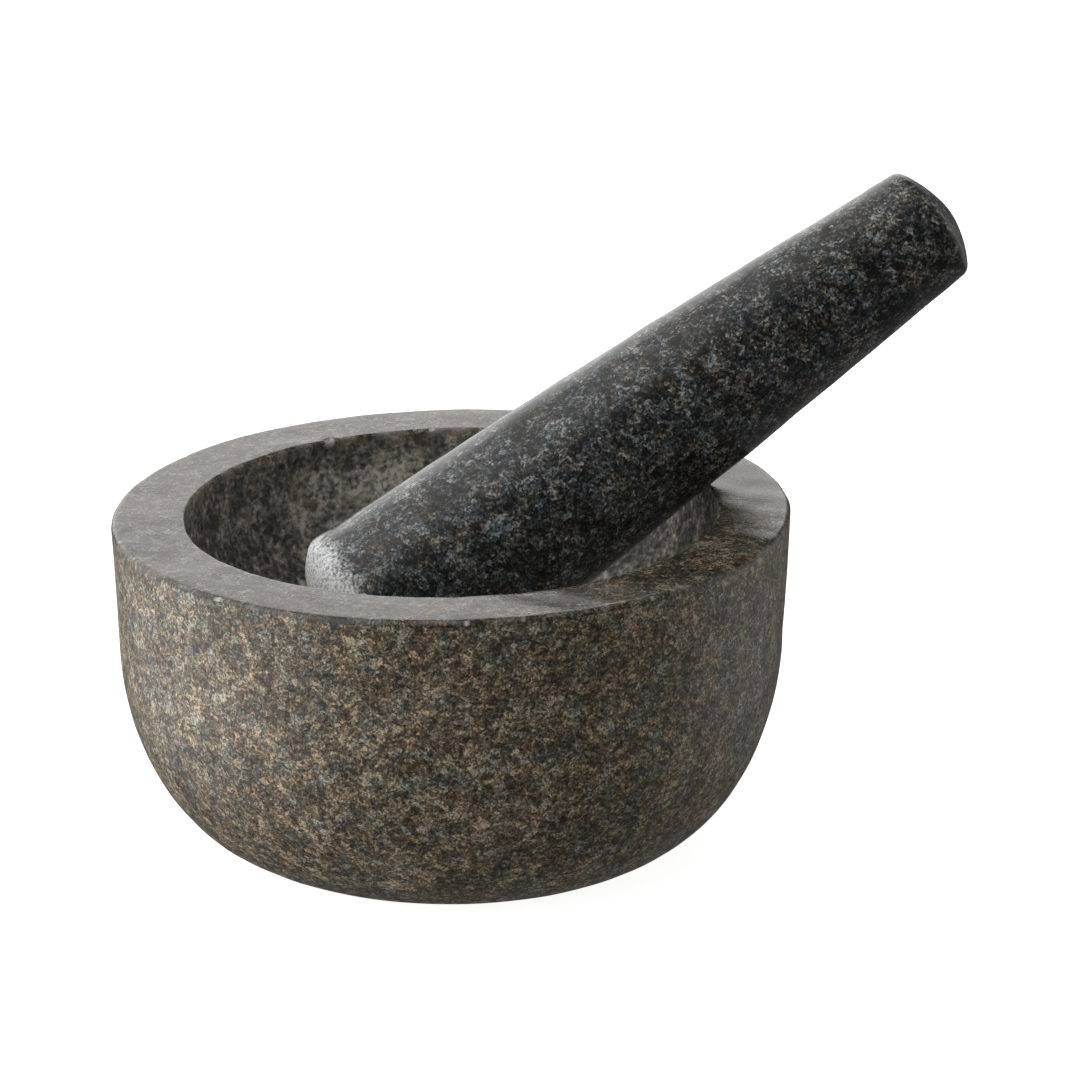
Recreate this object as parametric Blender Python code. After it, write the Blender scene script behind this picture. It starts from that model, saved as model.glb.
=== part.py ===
"""A granite mortar and its loose pestle: a turned stone bowl that stands on a flat, and a tapered
club with a rounded grinding foot.

Metres, +Z up. The origin is the centre of the mortar's flat base, and +X is roughly the side that
the pestle leans over. The pestle is at rest: its foot stands in the bowl and its side on the rim.
"""

from math import cos, pi, radians, sin

import bmesh
import bpy
from mathutils import Matrix

# The mortar.
MORTAR_RADIUS = 0.0700
MORTAR_HEIGHT = 0.0706
WALL_HEIGHT = 0.0260  # the nearly straight band under the rim
WALL_TAPER = 0.0010  # how far that band draws in from the rim to its lower end
BASE_RADIUS = 0.0382  # the flat that the bowl stands on
RIM_WIDTH = 0.0150
RIM_OUTER_ROUNDING = 0.0012
RIM_INNER_ROUNDING = 0.0007
RIM_SLOPE = 0.0220  # the rim is out of level by hand, and climbs by this per metre towards +X
BOWL_DEPTH = 0.0424
BOWL_FULLNESS = 2.4  # a fullness of 2 is an ellipse, and more is squarer

# The pestle, measured along its axis from the lowest point of its foot.
PESTLE_LENGTH = 0.1569
PESTLE_FOOT_RADIUS = 0.0217  # where the sides' taper would end, level with the lowest point
PESTLE_TOP_RADIUS = 0.0128
PESTLE_SWELL = 0.0007  # how far the sides bow out of a straight taper, halfway up
FOOT_HEIGHT = 0.0093  # the domed grinding end, up to the corner where it meets the side
FOOT_CRISPNESS = 1.19  # 1 is an elliptical dome, and more meets the side at a sharper corner
TOP_DOME_HEIGHT = 0.0042

# Where the pestle rests, on the bowl's floor and against the rim.
PESTLE_TURN = radians(15.4)  # from +X towards +Y
PESTLE_RISE = radians(32.65)  # above the horizon
PESTLE_FOOT_REACH = 0.0245  # from the mortar's axis back to the middle of the foot
PESTLE_FOOT_LEVEL = 0.0419  # above the base

# How finely the turned shapes are divided.
MORTAR_SIDES = 64
PESTLE_SIDES = 48
BELLY_STEPS = 12
BOWL_STEPS = 14
ROUNDING_STEPS = 3
FOOT_STEPS = 9
SIDE_STEPS = 6
DOME_STEPS = 4


def fractions(steps):
    """From 0 to 1 in even steps, with both ends."""
    return [i / steps for i in range(steps + 1)]


def full_arc(width, height, fullness, steps):
    """A quarter of a superellipse, from (width, 0) to (0, height)."""
    power = 2 / fullness
    points = []
    for share in fractions(steps):
        angle = share * pi / 2
        points.append((width * abs(cos(angle)) ** power, height * sin(angle) ** power))
    points[-1] = (0.0, height)
    return points


def belly_profile():
    """The mortar's outside, as (radius, height) from the base up to the end of the straight band."""
    band_end = MORTAR_HEIGHT - WALL_HEIGHT
    belly_radius = MORTAR_RADIUS - WALL_TAPER
    arc = full_arc(belly_radius - BASE_RADIUS, band_end, 2, BELLY_STEPS)
    return [(BASE_RADIUS + across, band_end - down) for across, down in reversed(arc)]


def rim_profile():
    """The rim, from the outer rounding over the flat to the inner rounding."""
    outer = full_arc(RIM_OUTER_ROUNDING, RIM_OUTER_ROUNDING, 2, ROUNDING_STEPS)
    inner = full_arc(RIM_INNER_ROUNDING, RIM_INNER_ROUNDING, 2, ROUNDING_STEPS)
    outer_centre = (MORTAR_RADIUS - RIM_OUTER_ROUNDING, MORTAR_HEIGHT - RIM_OUTER_ROUNDING)
    mouth_radius = MORTAR_RADIUS - RIM_WIDTH
    inner_centre = (mouth_radius + RIM_INNER_ROUNDING, MORTAR_HEIGHT - RIM_INNER_ROUNDING)
    points = [(outer_centre[0] + across, outer_centre[1] + up) for across, up in outer]
    points += [(inner_centre[0] - across, inner_centre[1] + up) for across, up in reversed(inner)]
    return points


def bowl_profile():
    """The hollow, from just under the inner rounding down to the middle of its floor."""
    start_height = MORTAR_HEIGHT - RIM_INNER_ROUNDING
    mouth_radius = MORTAR_RADIUS - RIM_WIDTH
    arc = full_arc(mouth_radius, BOWL_DEPTH - RIM_INNER_ROUNDING, BOWL_FULLNESS, BOWL_STEPS)
    return [(across, start_height - down) for across, down in arc[1:]]


def pestle_side_radius(height):
    """The radius of the pestle's tapered and slightly swollen side at a height along its axis."""
    share = height / (PESTLE_LENGTH - TOP_DOME_HEIGHT)
    taper = PESTLE_FOOT_RADIUS + (PESTLE_TOP_RADIUS - PESTLE_FOOT_RADIUS) * share
    return taper + PESTLE_SWELL * 4 * share * (1 - share)


def pestle_profile():
    """The pestle's outline as (radius, height), from the middle of its foot to the top of its dome."""
    shoulder = PESTLE_LENGTH - TOP_DOME_HEIGHT
    corner_radius = pestle_side_radius(FOOT_HEIGHT)
    points = []
    for share in fractions(FOOT_STEPS):
        angle = share * pi / 2
        drop = FOOT_HEIGHT * abs(cos(angle)) ** FOOT_CRISPNESS
        points.append((corner_radius * sin(angle), FOOT_HEIGHT - drop))
    for share in fractions(SIDE_STEPS)[1:]:
        height = FOOT_HEIGHT + (shoulder - FOOT_HEIGHT) * share
        points.append((pestle_side_radius(height), height))
    for share in fractions(DOME_STEPS)[1:]:
        radius = PESTLE_TOP_RADIUS * (1 - share)
        points.append((radius, shoulder + TOP_DOME_HEIGHT * (1 - (1 - share) ** 2)))
    return points


def turned_mesh(name, profile, sides):
    """Turns an outline about the Z axis. An outline that starts off the axis gets a flat there."""
    bm = bmesh.new()
    points = [bm.verts.new((radius, 0, height)) for radius, height in profile]
    lines = [bm.edges.new(pair) for pair in zip(points, points[1:])]
    bmesh.ops.spin(
        bm,
        geom=points + lines,
        cent=(0, 0, 0),
        axis=(0, 0, 1),
        angle=2 * pi,
        steps=sides,
        use_merge=True,
    )
    bmesh.ops.remove_doubles(bm, verts=bm.verts, dist=1e-6)
    open_edges = [edge for edge in bm.edges if edge.is_boundary]
    bmesh.ops.holes_fill(bm, edges=open_edges)
    bmesh.ops.recalc_face_normals(bm, faces=bm.faces)
    mesh = bpy.data.meshes.new(name)
    bm.to_mesh(mesh)
    bm.free()
    mesh.shade_smooth()
    mesh.set_sharp_from_angle(angle=radians(40))
    return mesh


def tilt_rim(mesh):
    """Leans the rim out of level, growing from nothing at the base."""
    for vertex in mesh.vertices:
        vertex.co.z *= 1 + RIM_SLOPE * vertex.co.x / MORTAR_HEIGHT


def stone(name, colour, roughness):
    material = bpy.data.materials.new(name)
    material.use_nodes = True
    shader = material.node_tree.nodes["Principled BSDF"]
    shader.inputs["Base Color"].default_value = (*colour, 1)
    shader.inputs["Roughness"].default_value = roughness
    shader.inputs["Metallic"].default_value = 0
    material.diffuse_color = (*colour, 1)
    return material


def add_object(name, data, material):
    data.materials.append(material)
    made = bpy.data.objects.new(name, data)
    bpy.context.scene.collection.objects.link(made)
    return made


def add_mortar():
    mesh = turned_mesh("mortar", belly_profile() + rim_profile() + bowl_profile(), MORTAR_SIDES)
    tilt_rim(mesh)
    return add_object("mortar", mesh, stone("brown_granite", (0.13, 0.11, 0.095), 0.45))


def add_pestle():
    """The pestle under the empty that it lifts off with, which slides straight up from its foot."""
    back = Matrix.Rotation(PESTLE_TURN, 3, "Z").col[0] * -PESTLE_FOOT_REACH
    lift = bpy.data.objects.new("pestle_lift_axis", None)
    lift.location = (back.x, back.y, PESTLE_FOOT_LEVEL)
    bpy.context.scene.collection.objects.link(lift)
    mesh = turned_mesh("pestle", pestle_profile(), PESTLE_SIDES)
    pestle = add_object("pestle", mesh, stone("black_granite", (0.055, 0.06, 0.065), 0.38))
    pestle.parent = lift
    pestle.rotation_euler = (0, pi / 2 - PESTLE_RISE, PESTLE_TURN)
    return pestle


def build():
    for existing in list(bpy.data.objects):
        bpy.data.objects.remove(existing)
    add_mortar()
    add_pestle()


build()
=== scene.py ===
"""The looks of a granite mortar and its loose pestle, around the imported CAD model.

Both CAD solids are replaced by finely divided turned surfaces of the same size, with the slight
unevenness, rounded edges, chips and ground areas of real stone, and procedural granite.
Metres, +Z up. The origin is the centre of the mortar's base.
"""

from math import cos, pi, radians, sin

import bpy
import numpy as np
from mathutils import Matrix, Vector


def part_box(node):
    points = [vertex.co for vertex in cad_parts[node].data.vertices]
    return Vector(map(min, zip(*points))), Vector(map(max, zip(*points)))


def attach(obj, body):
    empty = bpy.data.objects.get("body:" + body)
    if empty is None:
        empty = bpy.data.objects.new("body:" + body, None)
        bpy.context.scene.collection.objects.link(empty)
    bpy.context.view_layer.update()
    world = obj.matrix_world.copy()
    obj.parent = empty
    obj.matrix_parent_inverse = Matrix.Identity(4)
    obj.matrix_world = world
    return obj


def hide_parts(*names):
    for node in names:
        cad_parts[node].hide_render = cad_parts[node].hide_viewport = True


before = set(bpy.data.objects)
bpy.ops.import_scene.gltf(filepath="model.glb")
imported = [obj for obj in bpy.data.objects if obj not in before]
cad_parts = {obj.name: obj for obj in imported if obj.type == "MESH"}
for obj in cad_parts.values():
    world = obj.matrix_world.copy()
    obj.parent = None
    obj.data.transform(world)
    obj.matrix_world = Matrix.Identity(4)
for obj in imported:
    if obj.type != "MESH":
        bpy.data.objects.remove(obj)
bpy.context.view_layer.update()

MORTAR_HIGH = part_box("mortar")[1]

# The mortar, as the CAD has it.
MORTAR_RADIUS = MORTAR_HIGH.x
MORTAR_HEIGHT = 0.0706
WALL_HEIGHT = 0.0260
WALL_TAPER = 0.0010
BASE_RADIUS = 0.0382
RIM_WIDTH = 0.0150
RIM_OUTER_ROUNDING = 0.0012
RIM_INNER_ROUNDING = 0.0007
RIM_RISE = MORTAR_HIGH.z - MORTAR_HEIGHT  # how far the rim climbs from its middle to its right side
BOWL_DEPTH = 0.0424
BOWL_FULLNESS = 2.4

# The pestle, as the CAD has it, measured along its axis from the middle of its foot.
PESTLE_LENGTH = 0.1569
PESTLE_FOOT_RADIUS = 0.0217
PESTLE_TOP_RADIUS = 0.0128
PESTLE_SWELL = 0.0007
FOOT_HEIGHT = 0.0093
FOOT_CRISPNESS = 1.19
TOP_DOME_HEIGHT = 0.0042
TOP_ROUNDING = 0.0010
PESTLE_TURN = radians(15.4)
PESTLE_RISE = radians(32.65)
PESTLE_FOOT_REACH = 0.0245
PESTLE_FOOT_LEVEL = 0.0419

# Worked out from those.
MOUTH_RADIUS = MORTAR_RADIUS - RIM_WIDTH
BAND_END = MORTAR_HEIGHT - WALL_HEIGHT  # where the belly takes over from the straight band
BOWL_FLOOR = MORTAR_HEIGHT - BOWL_DEPTH
PESTLE_SHOULDER = PESTLE_LENGTH - TOP_DOME_HEIGHT  # where the side would meet the dome at its edge

# How finely the pieces are divided all round, which keeps each one under 200,000 triangles.
MORTAR_SIDES = 600
PESTLE_SIDES = 320

# How finely each stretch of their outlines is divided.
BASE_STEPS = 10
BELLY_STEPS = 42
WALL_STEPS = 20
OUTER_ROUNDING_STEPS = 7
RIM_STEPS = 18
INNER_ROUNDING_STEPS = 6
BOWL_STEPS = 62
FOOT_STEPS = 60
SIDE_STEPS = 150
TOP_ROUNDING_STEPS = 6
TOP_STEPS = 26


# ---- Outlines -------------------------------------------------------------------------------


def quarter_arc(width, height, fullness, steps):
    """A quarter of a superellipse from (width, 0) to (0, height), as an array of points."""
    angle = np.linspace(0, pi / 2, steps + 1)
    power = 2 / fullness
    across = width * np.abs(np.cos(angle)) ** power
    along = height * np.abs(np.sin(angle)) ** power
    across[-1] = 0
    return np.stack([across, along], axis=1)


def evenly(points, steps):
    """The same line with its points evenly spaced."""
    lengths = np.linalg.norm(np.diff(points, axis=0), axis=1)
    along = np.concatenate([[0], np.cumsum(lengths)])
    at = np.linspace(0, along[-1], steps + 1)
    return np.stack([np.interp(at, along, points[:, k]) for k in range(2)], axis=1)


def joined(*lines):
    """Lines end to end, each without its first point if that repeats the last one."""
    points = [lines[0]]
    for line in lines[1:]:
        repeats = np.linalg.norm(line[0] - points[-1][-1]) < 1e-7
        points.append(line[1:] if repeats else line)
    return np.concatenate(points)


def mortar_outline():
    """(radius, height) from the middle of the base, up the outside and over the rim, to the floor."""
    base = np.array([[0, 0], [BASE_RADIUS, 0]])
    belly_radius = MORTAR_RADIUS - WALL_TAPER
    belly = quarter_arc(belly_radius - BASE_RADIUS, BAND_END, 2, steps=400)[::-1]
    belly = np.stack([BASE_RADIUS + belly[:, 0], BAND_END - belly[:, 1]], axis=1)
    outer = quarter_arc(RIM_OUTER_ROUNDING, RIM_OUTER_ROUNDING, 2, OUTER_ROUNDING_STEPS)
    outer += [MORTAR_RADIUS - RIM_OUTER_ROUNDING, MORTAR_HEIGHT - RIM_OUTER_ROUNDING]
    inner = quarter_arc(RIM_INNER_ROUNDING, RIM_INNER_ROUNDING, 2, INNER_ROUNDING_STEPS)
    inner = inner[::-1] * [-1, 1]
    inner += [MOUTH_RADIUS + RIM_INNER_ROUNDING, MORTAR_HEIGHT - RIM_INNER_ROUNDING]
    bowl = quarter_arc(MOUTH_RADIUS, BOWL_DEPTH - RIM_INNER_ROUNDING, BOWL_FULLNESS, steps=600)
    bowl = np.stack([bowl[:, 0], inner[-1][1] - bowl[:, 1]], axis=1)
    return joined(
        evenly(base, BASE_STEPS),
        evenly(belly, BELLY_STEPS),
        evenly(np.array([belly[-1], outer[0]]), WALL_STEPS),
        outer,
        evenly(np.array([outer[-1], inner[0]]), RIM_STEPS),
        inner,
        evenly(bowl, BOWL_STEPS),
    )


def pestle_side_radius(height):
    """The radius of the tapered and slightly swollen side at a height along the pestle's axis."""
    share = height / PESTLE_SHOULDER
    taper = PESTLE_FOOT_RADIUS + (PESTLE_TOP_RADIUS - PESTLE_FOOT_RADIUS) * share
    return taper + PESTLE_SWELL * 4 * share * (1 - share)


def pestle_outline():
    """(radius, height) from the middle of the foot, up the side and over the domed top."""
    angle = np.linspace(0, pi / 2, 600)
    drop = FOOT_HEIGHT * np.abs(np.cos(angle)) ** FOOT_CRISPNESS
    foot = np.stack([pestle_side_radius(FOOT_HEIGHT) * np.sin(angle), FOOT_HEIGHT - drop], axis=1)
    heights = np.linspace(FOOT_HEIGHT, PESTLE_SHOULDER - TOP_ROUNDING, 150)
    side = np.stack([pestle_side_radius(heights), heights], axis=1)
    radii = np.linspace(PESTLE_TOP_RADIUS - TOP_ROUNDING, 0, 30)
    dome = TOP_DOME_HEIGHT * (1 - (radii / PESTLE_TOP_RADIUS) ** 2)
    top = np.stack([radii, PESTLE_SHOULDER + dome], axis=1)
    share = np.linspace(0, 1, TOP_ROUNDING_STEPS + 1)[:, None]
    corner = np.array([PESTLE_TOP_RADIUS, PESTLE_SHOULDER])
    edge = (1 - share) ** 2 * side[-1] + 2 * share * (1 - share) * corner + share**2 * top[0]
    return joined(evenly(foot, FOOT_STEPS), evenly(side, SIDE_STEPS), edge, evenly(top, TOP_STEPS))


# ---- Turned stone ---------------------------------------------------------------------------


def smooth_noise(points, wavelength, seed, waves=36):
    """A smooth random field at these points, mostly within -1 and 1, with bumps of one size."""
    rng = np.random.default_rng(seed)
    directions = rng.normal(size=(waves, 3))
    directions /= np.linalg.norm(directions, axis=1)[:, None]
    turns = 2 * pi / wavelength * rng.uniform(0.6, 1.5, waves)
    phases = rng.uniform(0, 2 * pi, waves)
    total = np.zeros(points.shape[:-1])
    for direction, turn, phase in zip(directions, turns, phases):
        total += np.cos(points @ direction * turn + phase)
    return total / np.sqrt(waves)


def relief(points, layers):
    """Smooth noises added up, from layers of (height, wavelength, seed)."""
    return sum(height * smooth_noise(points, wavelength, seed) for height, wavelength, seed in layers)


def blend(low, high, value):
    """0 below low, 1 above high, and smooth between."""
    share = np.clip((value - low) / (high - low), 0, 1)
    return share * share * (3 - 2 * share)


def turned_grid(outline, sides):
    """Points and outward normals as (rings, sides, 3), without the two ends on the axis."""
    tangent = np.gradient(outline, axis=0)
    tangent /= np.linalg.norm(tangent, axis=1)[:, None]
    angle = np.arange(sides) * 2 * pi / sides
    round_x, round_y = np.cos(angle), np.sin(angle)
    inner = slice(1, -1)
    radius, height = outline[inner, 0, None], outline[inner, 1, None]
    out, up = tangent[inner, 1, None], -tangent[inner, 0, None]
    level = np.ones(sides)
    points = np.stack([radius * round_x, radius * round_y, height * level], axis=-1)
    normals = np.stack([out * round_x, out * round_y, up * level], axis=-1)
    return points, normals


def grid_object(name, points, first, last, attributes):
    """A closed smooth mesh of the rings of points, with a fan to a single point at each end."""
    rings, sides = points.shape[:2]
    ring = np.arange(rings - 1)[:, None] * sides
    here = np.arange(sides)[None, :]
    after = (here + 1) % sides
    quads = np.stack([ring + here, ring + after, ring + sides + after, ring + sides + here], axis=-1)
    start, end = rings * sides, rings * sides + 1
    last_ring = (rings - 1) * sides
    faces = quads.reshape(-1, 4).tolist()
    faces += [[start, after[0, k], here[0, k]] for k in range(sides)]
    faces += [[end, last_ring + here[0, k], last_ring + after[0, k]] for k in range(sides)]
    mesh = bpy.data.meshes.new(name)
    mesh.from_pydata(points.reshape(-1, 3).tolist() + [list(first), list(last)], [], faces)
    mesh.shade_smooth()
    for key, values in attributes.items():
        stored = np.append(values.reshape(-1), [values[0].mean(), values[-1].mean()])
        layer = mesh.attributes.new(key, "FLOAT", "POINT")
        layer.data.foreach_set("value", stored.astype(np.float32))
    made = bpy.data.objects.new(name, mesh)
    bpy.context.scene.collection.objects.link(made)
    return made


def chip(points, centre, size, depth, seed):
    """How deep one chip bites at each point: a shallow scoop with a ragged outline."""
    away = np.linalg.norm(points - centre, axis=-1)
    near = away < size * 2
    bite = np.zeros(points.shape[:-1])
    ragged = 1 + 0.35 * smooth_noise(points[near], size * 0.9, seed, waves=12)
    bite[near] = depth * np.clip(1 - (away[near] / (size * ragged)) ** 2, 0, 1) ** 0.7
    return bite


# The height and size of what makes each surface uneven, as (height, wavelength, seed).
MORTAR_UNEVENNESS = [(0.00011, 0.034, 1), (0.00005, 0.011, 2)]
HOLLOW_PECKING = [(0.00007, 0.0042, 3), (0.00005, 0.0021, 4)]
PESTLE_UNEVENNESS = [(0.00009, 0.028, 22), (0.00004, 0.010, 23)]
FOOT_GRINDING = [(0.00005, 0.0030, 24), (0.00004, 0.0016, 25)]

# The larger chips: turn round the rim in degrees from +X towards +Y, edge, size, depth.
LARGE_CHIPS = [
    (118.5, "inner", 0.0014, 0.00055),
    (94.5, "inner", 0.0007, 0.00035),
    (229.0, "outer", 0.0007, 0.00035),
    (272.5, "outer", 0.0006, 0.00033),
]
SMALL_CHIPS = {"inner": 26, "outer": 30}
SMALL_CHIP_SIZE = (0.0003, 0.0008)
SMALL_CHIP_DEPTH = (0.10, 0.22)  # as shares of the size
CHIP_INSET = 0.3  # how far in from the edge a chip is centred, as a share of the edge's rounding

# Where the paler patch in the bowl is centred: partly grinding dust, partly a painted pool of light.
DUST_AND_LIGHT_TURN = 100  # degrees round the bowl, on the wall behind the pestle's foot


def edge_point(turn, edge):
    """Where the rim's inner or outer edge is at this turn round it."""
    if edge == "inner":
        inset = CHIP_INSET * RIM_INNER_ROUNDING
        radius = MOUTH_RADIUS + inset
    else:
        inset = CHIP_INSET * RIM_OUTER_ROUNDING
        radius = MORTAR_RADIUS - inset
    return np.array([radius * cos(turn), radius * sin(turn), MORTAR_HEIGHT - inset])


def mortar_chips():
    """The larger chips and a scatter of small ones, as (centre, size, depth)."""
    rng = np.random.default_rng(11)
    chips = []
    for degrees, edge, size, depth in LARGE_CHIPS:
        chips.append((edge_point(radians(degrees), edge), size, depth))
    for edge, count in SMALL_CHIPS.items():
        for turn in rng.uniform(0, 2 * pi, count):
            size = rng.uniform(*SMALL_CHIP_SIZE)
            chips.append((edge_point(turn, edge), size, size * rng.uniform(*SMALL_CHIP_DEPTH)))
    return chips


def chipped(points):
    """How deep the chips bite at each point."""
    bite = np.zeros(points.shape[:-1])
    for seed, (centre, size, depth) in enumerate(mortar_chips()):
        bite = np.maximum(bite, chip(points, centre, size, depth, seed))
    return bite


def bowl_dust_and_painted_light(points):
    """Where the bowl is painted paler: a patch on the wall behind the pestle's foot, partly grinding
    dust and partly a painted pool of light, and the floor, from grinding dust.
    """
    turn = np.degrees(np.arctan2(points[..., 1], points[..., 0]))
    behind = 1 - blend(12, 42, np.abs(turn - DUST_AND_LIGHT_TURN))
    depth = MORTAR_HEIGHT - points[..., 2]
    return np.maximum(behind * blend(0.003, 0.012, depth), blend(0.022, 0.036, depth))


def in_hollow(radius, height):
    """0 outside the bowl and at its mouth, and 1 from a little way down inside it."""
    inside = (radius < MOUTH_RADIUS + RIM_INNER_ROUNDING) & (height > BOWL_FLOOR / 2)
    return np.where(inside, blend(0.0002, 0.0030, MORTAR_HEIGHT - height), 0.0)


def on_rim(radius, height):
    """1 on the rim and 0 elsewhere, with a soft change at the mouth."""
    on_top = height > MORTAR_HEIGHT - RIM_OUTER_ROUNDING
    return np.where(on_top, blend(0.0, 0.0004, radius - MOUTH_RADIUS), 0.0)


def worn_and_highlit_edges(radius, height, points):
    """How much the rim's two edges are painted paler, in patches: partly wear from handling, partly a
    painted highlight along each arris.
    """
    on_top = height > MORTAR_HEIGHT - RIM_OUTER_ROUNDING
    inner = 0.35 * (on_top & (radius < MOUTH_RADIUS + RIM_INNER_ROUNDING))
    outward = 1 - (MORTAR_RADIUS - radius) / RIM_OUTER_ROUNDING
    upward = 1 - (MORTAR_HEIGHT - height) / RIM_OUTER_ROUNDING
    outer = 0.14 * blend(0.0, 0.5, outward) * blend(0.35, 0.75, upward)
    return (inner + outer) * blend(-0.6, 0.9, smooth_noise(points, 0.006, 5))


def add_mortar():
    """The mortar's visible surface, with the attributes that its material reads."""
    outline = mortar_outline()
    even, normals = turned_grid(outline, MORTAR_SIDES)
    radius = np.linalg.norm(even[..., :2], axis=-1)
    height = even[..., 2]
    hollow = in_hollow(radius, height)
    bite = chipped(even)
    above_base = blend(0.0, 0.006, height)
    lift = relief(even, MORTAR_UNEVENNESS) * above_base * (1 - 0.6 * hollow)
    lift += relief(even, HOLLOW_PECKING) * hollow - bite
    points = even + normals * lift[..., None]
    points[..., 2] *= 1 + RIM_RISE * points[..., 0] / (MORTAR_RADIUS * MORTAR_HEIGHT)
    attributes = {
        "hollow": hollow,
        "rim": on_rim(radius, height),
        # Pale stone in the chips, and on the rim's edges, where it is partly wear and partly a painted
        # highlight.
        "fresh_and_edge_highlight": np.maximum(blend(0.00007, 0.00020, bite), worn_and_highlit_edges(radius, height, points)),
        # dust: partly grinding dust, partly a painted pool of light on the wall behind the pestle's
        # foot.
        "dust": bowl_dust_and_painted_light(points) * hollow,
    }
    first = (0, 0, outline[0, 1])
    last = (0, 0, points[-1, :, 2].mean())
    return grid_object("mortar_stone", points, first, last, attributes)


def pestle_matrix():
    """From the pestle's own axis to where it rests."""
    back = Matrix.Rotation(PESTLE_TURN, 3, "Z").col[0] * -PESTLE_FOOT_REACH
    place = Matrix.Translation((back.x, back.y, PESTLE_FOOT_LEVEL))
    return place @ Matrix.Rotation(PESTLE_TURN, 4, "Z") @ Matrix.Rotation(pi / 2 - PESTLE_RISE, 4, "Y")


def add_pestle():
    """The pestle's visible surface at rest, with the attributes that its material reads."""
    outline = pestle_outline()
    points, normals = turned_grid(outline, PESTLE_SIDES)
    height = points[..., 2]
    ragged = 0.0008 * smooth_noise(points, 0.009, 21)
    ground = 1 - blend(FOOT_HEIGHT - 0.0040, FOOT_HEIGHT + 0.0050, height + ragged)
    lift = relief(points, PESTLE_UNEVENNESS) + relief(points, FOOT_GRINDING) * ground
    place = np.array(pestle_matrix())
    turn, shift = place[:3, :3], place[:3, 3]
    placed = (points + normals * lift[..., None]) @ turn.T + shift
    first, last = (turn @ np.array([0, 0, end]) + shift for end in (outline[0, 1], outline[-1, 1]))
    attributes = {"ground": ground, "along": height / PESTLE_LENGTH}
    return grid_object("pestle_stone", placed, first, last, attributes)


# ---- Materials ------------------------------------------------------------------------------


class Graph:
    """A material's node tree, with one short call for each kind of node."""

    def __init__(self, name):
        self.material = bpy.data.materials.new(name)
        self.material.use_nodes = True
        self.tree = self.material.node_tree
        self.shader = self.tree.nodes["Principled BSDF"]

    def feed(self, socket, value):
        if isinstance(value, bpy.types.NodeSocket):
            self.tree.links.new(value, socket)
        else:
            socket.default_value = value

    def node(self, kind, inputs, output=0, **settings):
        made = self.tree.nodes.new(kind)
        for key, value in settings.items():
            setattr(made, key, value)
        for key, value in inputs.items():
            self.feed(made.inputs[key], value)
        return made.outputs[output]

    def coordinates(self):
        return self.node("ShaderNodeTexCoord", {}, output="Object")

    def attribute(self, name):
        return self.node("ShaderNodeAttribute", {}, output="Fac", attribute_name=name)

    def math(self, operation, first, second=0.0, third=0.0, clamp=False):
        inputs = {0: first, 1: second, 2: third}
        return self.node("ShaderNodeMath", inputs, operation=operation, use_clamp=clamp)

    def plus(self, value, mask, amount):
        """The value with an amount added where the mask is 1, kept between 0 and 1."""
        return self.math("MULTIPLY_ADD", mask, amount, value, clamp=True)

    def vector(self, operation, first, second):
        return self.node("ShaderNodeVectorMath", {0: first, 1: second}, operation=operation)

    def noise(self, at, size, detail=2.0, roughness=0.5, output="Fac"):
        inputs = {"Vector": at, "Scale": 1 / size, "Detail": detail, "Roughness": roughness}
        return self.node("ShaderNodeTexNoise", inputs, output=output)

    def cells(self, at, size):
        """A random colour for each crystal of that size."""
        inputs = {"Vector": at, "Scale": 1 / size, "Randomness": 1.0}
        return self.node("ShaderNodeTexVoronoi", inputs, output="Color")

    def channel(self, colour, name):
        return self.node("ShaderNodeSeparateColor", {0: colour}, output=name)

    def ramp(self, value, stops):
        """Colours along a value, from a list of (position, colour)."""
        made = self.tree.nodes.new("ShaderNodeValToRGB")
        self.feed(made.inputs[0], value)
        elements = made.color_ramp.elements
        while len(elements) < len(stops):
            elements.new(0.5)
        for element, (position, colour) in zip(elements, stops):
            element.position = position
            element.color = (*colour, 1)
        return made.outputs[0]

    def step(self, value, low, high):
        """0 below low, 1 above high."""
        inputs = {"Value": value, "From Min": low, "From Max": high}
        return self.node("ShaderNodeMapRange", inputs, interpolation_type="SMOOTHSTEP")

    def range(self, value, low, high):
        """From 0 to 1 onto low to high."""
        return self.node("ShaderNodeMapRange", {"Value": value, "To Min": low, "To Max": high})

    def mix(self, factor, first, second, blend_type="MIX"):
        inputs = {0: factor, 6: first, 7: second}
        return self.node("ShaderNodeMix", inputs, output=2, data_type="RGBA", blend_type=blend_type)

    def warped(self, at, size, amount):
        """Coordinates pushed about by a noise of that size, so that patterns lose their regularity."""
        push = self.noise(at, size, output="Color")
        centred = self.vector("SUBTRACT", push, (0.5, 0.5, 0.5))
        scaled = self.vector("MULTIPLY", centred, (amount, amount, amount))
        return self.vector("ADD", at, scaled)

    def weighted(self, *parts):
        """A sum of (value, weight) pairs that is one half where every value is one half."""
        total = 0.5 - 0.5 * sum(weight for _, weight in parts)
        for value, weight in parts:
            total = self.math("MULTIPLY_ADD", value, weight, total)
        return total

    def threads(self, at, spacing, shift, share):
        """A mask of short curved hairs: level lines of one noise, kept where another is high."""
        moved = self.vector("ADD", at, (shift, -shift, 2 * shift))
        off_line = self.math("ABSOLUTE", self.math("SUBTRACT", self.noise(moved, spacing, 1), 0.5))
        line = self.math("SUBTRACT", 1.0, self.step(off_line, 0.010, 0.045))
        kept = self.step(self.noise(moved, spacing * 0.45, 1), 0.62 - share, 0.70 - share)
        return self.math("MULTIPLY", line, kept)


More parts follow.
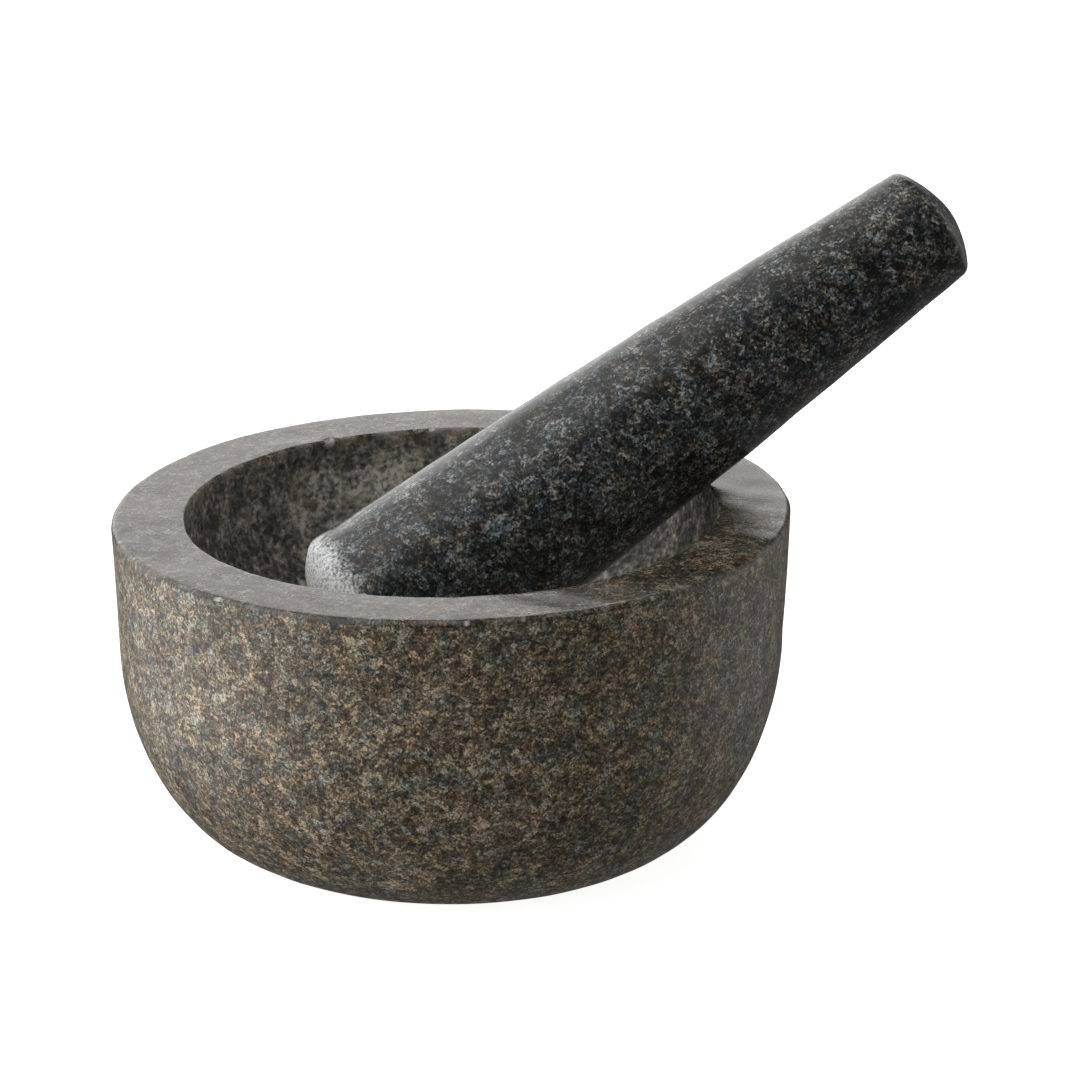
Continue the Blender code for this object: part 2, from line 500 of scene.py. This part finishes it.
# Colours along a stone's value, from its darkest crystals to its palest, before they are tinted.
MORTAR_SHADES = [
    (0.22, (0.014, 0.013, 0.012)),
    (0.38, (0.058, 0.056, 0.054)),
    (0.50, (0.118, 0.117, 0.115)),
    (0.62, (0.222, 0.222, 0.222)),
    (0.80, (0.640, 0.660, 0.690)),
]
HOLLOW_SHADES = [
    (0.24, (0.028, 0.028, 0.027)),
    (0.40, (0.098, 0.098, 0.094)),
    (0.52, (0.205, 0.206, 0.196)),
    (0.63, (0.400, 0.402, 0.390)),
    (0.80, (0.800, 0.820, 0.830)),
]
PESTLE_SHADES = [
    (0.24, (0.005, 0.005, 0.005)),
    (0.39, (0.029, 0.029, 0.029)),
    (0.52, (0.054, 0.054, 0.054)),
    (0.66, (0.100, 0.100, 0.100)),
    (0.90, (0.270, 0.270, 0.270)),
]

# Tints along a stone's hue value, multiplied over those shades.
MORTAR_TINTS = [
    (0.28, (0.96, 1.00, 0.86)),
    (0.40, (1.10, 1.00, 0.74)),
    (0.50, (1.19, 0.99, 0.66)),
    (0.61, (1.26, 0.98, 0.61)),
    (0.76, (1.34, 0.95, 0.60)),
]
PESTLE_TINTS = [
    (0.28, (0.80, 1.00, 1.10)),
    (0.50, (0.91, 1.00, 1.01)),
    (0.62, (1.02, 1.00, 0.89)),
    (0.78, (1.16, 1.00, 0.74)),
]

# Powder on the pestle's ground foot, from between its grains to their tops.
POWDER_SHADES = [
    (0.36, (0.36, 0.37, 0.40)),
    (0.53, (0.99, 1.00, 1.00)),
]

# Pale hairs in the mortar's stone, from where it is dark to where it is pale.
HAIR_SHADES = [
    (0.3, (0.16, 0.135, 0.095)),
    (0.7, (0.50, 0.43, 0.31)),
]

POLISH_DARKENING = (0.50, 0.50, 0.52, 1)
# Pale broken stone for the chips, also used on the rim's edges as partly wear and partly a painted
# highlight.
FRESH_STONE_AND_EDGE_HIGHLIGHT = (0.62, 0.60, 0.56, 1)
GRANITE_IOR = 1.55


class Granite(Graph):
    """Stone of interlocking crystals of two sizes, with a grey value and a hue value that change
    from crystal to crystal and from patch to patch. The weights are for the value: how much it
    changes between coarse crystals, between fine ones, with dust-sized grains and between patches.
    """

    def __init__(self, name, coarse, fine, patch, weights):
        super().__init__(name)
        self.at = self.coordinates()
        self.bent = self.warped(self.warped(self.at, coarse * 2, coarse), fine * 1.6, fine)
        big = self.cells(self.bent, coarse)
        small = self.cells(self.bent, fine)
        big_grey, big_hue = self.channel(big, "Red"), self.channel(big, "Green")
        small_grey, small_hue = self.channel(small, "Red"), self.channel(small, "Green")
        dust = self.noise(self.at, fine * 0.7, detail=2, roughness=0.6)
        cloud = self.noise(self.bent, patch, detail=4, roughness=0.65)
        elsewhere = self.vector("ADD", self.bent, (0.3, 0.1, 0.2))
        blush = self.noise(elsewhere, patch * 0.6, detail=3, roughness=0.6)
        soft = self.noise(self.at, coarse * 0.8, detail=1)
        self.value = self.weighted(*zip((big_grey, small_grey, dust, cloud), weights))
        self.hue = self.weighted((cloud, 0.25), (blush, 1.40), (big_hue, 0.26), (small_hue, 0.12))
        self.softened = self.weighted(
            (big_grey, 0.16), (small_grey, 0.07), (soft, 0.60), (cloud, 0.46), (blush, 0.56)
        )

    def tinted(self, shades, tints, share):
        return self.mix(share, shades, self.ramp(self.hue, tints), "MULTIPLY")

    def finish(self, colour, roughness, pit_size, pit_depth):
        """Connects the shader, with fine pits of a depth in millimetres, and gives the material."""
        self.feed(self.shader.inputs["Base Color"], colour)
        self.feed(self.shader.inputs["Roughness"], roughness)
        self.shader.inputs["IOR"].default_value = GRANITE_IOR
        pits = self.noise(self.at, pit_size, detail=3, roughness=0.6)
        height = self.math("MULTIPLY", pits, pit_depth)
        bump = self.node("ShaderNodeBump", {"Height": height, "Distance": 0.001, "Strength": 1.0})
        self.feed(self.shader.inputs["Normal"], bump)
        return self.material


def mortar_granite():
    """Brown granite: satin outside, polished on the rim, ground pale and rough in the hollow. The
    bowl's paler patch is partly dust and partly painted light, and the rim's paler edges are partly
    wear and partly a painted highlight.
    """
    stone = Granite(
        "mortar_granite", coarse=0.0014, fine=0.00057, patch=0.0070, weights=(0.22, 0.31, 0.9, 0.58)
    )
    hollow, rim, fresh_and_edge_highlight, dust = (stone.attribute(name) for name in ("hollow", "rim", "fresh_and_edge_highlight", "dust"))

    outside = stone.tinted(stone.ramp(stone.value, MORTAR_SHADES), MORTAR_TINTS, share=1.0)
    long_hairs = stone.threads(stone.bent, spacing=0.0030, shift=0.02, share=0.10)
    short_hairs = stone.threads(stone.bent, spacing=0.0020, shift=0.07, share=0.08)
    hairs = stone.math("MULTIPLY", stone.math("MAXIMUM", long_hairs, short_hairs), 0.7)
    outside = stone.mix(hairs, outside, stone.ramp(stone.value, HAIR_SHADES))
    polished = stone.mix(1.0, outside, POLISH_DARKENING, "MULTIPLY")
    # The bowl's paler patch, partly grinding dust and partly a painted pool of light, raises the
    # hollow's value.
    dusted = stone.plus(stone.softened, dust, 0.17)
    inside = stone.tinted(stone.ramp(dusted, HOLLOW_SHADES), MORTAR_TINTS, share=0.35)
    colour = stone.mix(rim, outside, polished)
    colour = stone.mix(hollow, colour, inside)
    # Pale in the chips, and along the rim's edges as partly wear and partly a painted highlight.
    colour = stone.mix(fresh_and_edge_highlight, colour, FRESH_STONE_AND_EDGE_HIGHLIGHT)

    roughness = stone.range(stone.value, 0.46, 0.30)
    for mask, rougher in ((rim, -0.22), (hollow, 0.40), (fresh_and_edge_highlight, 0.40)):
        roughness = stone.plus(roughness, mask, rougher)
    pit_depth = stone.plus(stone.range(hollow, 0.020, 0.17), rim, 0.018)
    return stone.finish(colour, roughness, pit_size=0.00055, pit_depth=pit_depth)


def pestle_granite():
    """Charcoal granite: glossy sides, browner and darker towards the top, and a powdery foot."""
    stone = Granite(
        "pestle_granite", coarse=0.0018, fine=0.00064, patch=0.0065, weights=(0.28, 0.46, 1.0, 0.88)
    )
    along, ground = stone.attribute("along"), stone.attribute("ground")

    stone.hue = stone.plus(stone.hue, along, 0.09)
    shades = stone.ramp(stone.plus(stone.value, along, -0.07), PESTLE_SHADES)
    sides = stone.tinted(shades, PESTLE_TINTS, share=1.0)
    grit = stone.noise(stone.at, 0.0007, detail=3, roughness=0.6)
    powder = stone.ramp(grit, POWDER_SHADES)
    dusted = stone.step(stone.weighted((ground, 1.0), (stone.value, 0.6), (grit, 0.6)), 0.05, 0.86)
    colour = stone.mix(dusted, sides, powder)

    roughness = stone.plus(stone.range(stone.value, 0.24, 0.14), ground, 0.50)
    pit_depth = stone.range(ground, 0.014, 0.20)
    stone.shader.inputs["Specular IOR Level"].default_value = 0.38
    return stone.finish(colour, roughness, pit_size=0.00060, pit_depth=pit_depth)


# ---- Studio ---------------------------------------------------------------------------------

# A long lens, rolled a hair from level. Lens and sensor are in millimetres.
CAMERA_LENS = 150
CAMERA_SENSOR = 36
CAMERA_ROLL = radians(0.375)
CAMERA_PLACE = Vector((0.0, -0.8831, 0.3633))
CAMERA_AIM = Vector((0.01837, 0.0, 0.06353))

FLOOR_HALF_WIDTH = 4.0
FLOOR_GAP = 0.0002  # under the mortar's base, so that the two faces don't touch
FLOOR_GLOW = 0.90

# The studio's soft lights, as (direction, edge, full, strength). Each one starts where the cosine
# of the angle to its direction is the edge, and reaches its strength at the full cosine.
SURROUND = [
    ((-0.15, 0.95, 0.27), 0.86, 0.96, 1.20),  # behind
    ((-1.00, 0.00, 0.28), 0.28, 0.90, 1.72),  # to the left, the main light
    ((0.90, 0.30, 0.00), 0.70, 0.95, 0.45),  # to the right and a little behind
    ((0.00, 0.00, 1.00), 0.50, 0.95, 0.10),  # overhead
]
AMBIENT = 0.13
LIGHT_COLOUR = (1.0, 0.995, 0.985, 1)


def add_camera():
    data = bpy.data.cameras.new("camera")
    data.lens = CAMERA_LENS
    data.sensor_width = CAMERA_SENSOR
    camera = bpy.data.objects.new("camera", data)
    look = (CAMERA_AIM - CAMERA_PLACE).to_track_quat("-Z", "Y").to_matrix()
    rolled = look @ Matrix.Rotation(CAMERA_ROLL, 3, "Z")
    camera.matrix_world = Matrix.Translation(CAMERA_PLACE) @ rolled.to_4x4()
    bpy.context.scene.collection.objects.link(camera)
    bpy.context.scene.camera = camera


def add_floor():
    """A wide pale floor. It is seen and takes shadows, and the surround lights the stone instead."""
    signs = [(-1, -1), (1, -1), (1, 1), (-1, 1)]
    corners = [(x * FLOOR_HALF_WIDTH, y * FLOOR_HALF_WIDTH, 0) for x, y in signs]
    mesh = bpy.data.meshes.new("floor")
    mesh.from_pydata(corners, [], [(0, 1, 2, 3)])
    floor = bpy.data.objects.new("floor", mesh)
    floor.location.z = -FLOOR_GAP
    bpy.context.scene.collection.objects.link(floor)
    graph = Graph("floor_white")
    mottle = graph.noise(graph.coordinates(), 0.4)
    colour = graph.mix(mottle, (0.86, 0.86, 0.86, 1), (0.90, 0.90, 0.90, 1))
    graph.feed(graph.shader.inputs["Base Color"], colour)
    graph.shader.inputs["Roughness"].default_value = 0.9
    graph.shader.inputs["Specular IOR Level"].default_value = 0.0
    graph.shader.inputs["Emission Color"].default_value = (1, 1, 1, 1)
    graph.shader.inputs["Emission Strength"].default_value = FLOOR_GLOW
    mesh.materials.append(graph.material)
    floor.visible_diffuse = False
    floor.visible_glossy = False


def soft_light(tree, outward, direction, edge, full, strength):
    """How much one of the studio's lights gives in each direction."""
    along = tree.nodes.new("ShaderNodeVectorMath")
    along.operation = "DOT_PRODUCT"
    along.inputs[1].default_value = Vector(direction).normalized()
    tree.links.new(outward, along.inputs[0])
    lobe = tree.nodes.new("ShaderNodeMapRange")
    lobe.interpolation_type = "SMOOTHSTEP"
    lobe.inputs["From Min"].default_value = edge
    lobe.inputs["From Max"].default_value = full
    lobe.inputs["To Max"].default_value = strength
    tree.links.new(along.outputs["Value"], lobe.inputs["Value"])
    return lobe.outputs[0]


def add_surround():
    """A soft white studio: bright behind and to the left, dim above, in front and to the right."""
    world = bpy.data.worlds.new("studio")
    bpy.context.scene.world = world
    world.use_nodes = True
    tree = world.node_tree
    outward = tree.nodes.new("ShaderNodeTexCoord").outputs["Generated"]
    total = tree.nodes.new("ShaderNodeValue").outputs[0]
    total.default_value = AMBIENT
    for direction, edge, full, strength in SURROUND:
        added = tree.nodes.new("ShaderNodeMath")
        tree.links.new(soft_light(tree, outward, direction, edge, full, strength), added.inputs[0])
        tree.links.new(total, added.inputs[1])
        total = added.outputs[0]
    background = tree.nodes["Background"]
    background.inputs["Color"].default_value = LIGHT_COLOUR
    tree.links.new(total, background.inputs["Strength"])


def set_view():
    scene = bpy.context.scene
    scene.view_settings.view_transform = "Standard"
    scene.view_settings.look = "None"


# ---- The part -------------------------------------------------------------------------------

mortar = add_mortar()
mortar.data.materials.append(mortar_granite())
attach(mortar, "mortar")
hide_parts("mortar")

pestle = add_pestle()
pestle.data.materials.append(pestle_granite())
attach(pestle, "pestle")
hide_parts("pestle")

add_camera()
add_floor()
add_surround()
set_view()
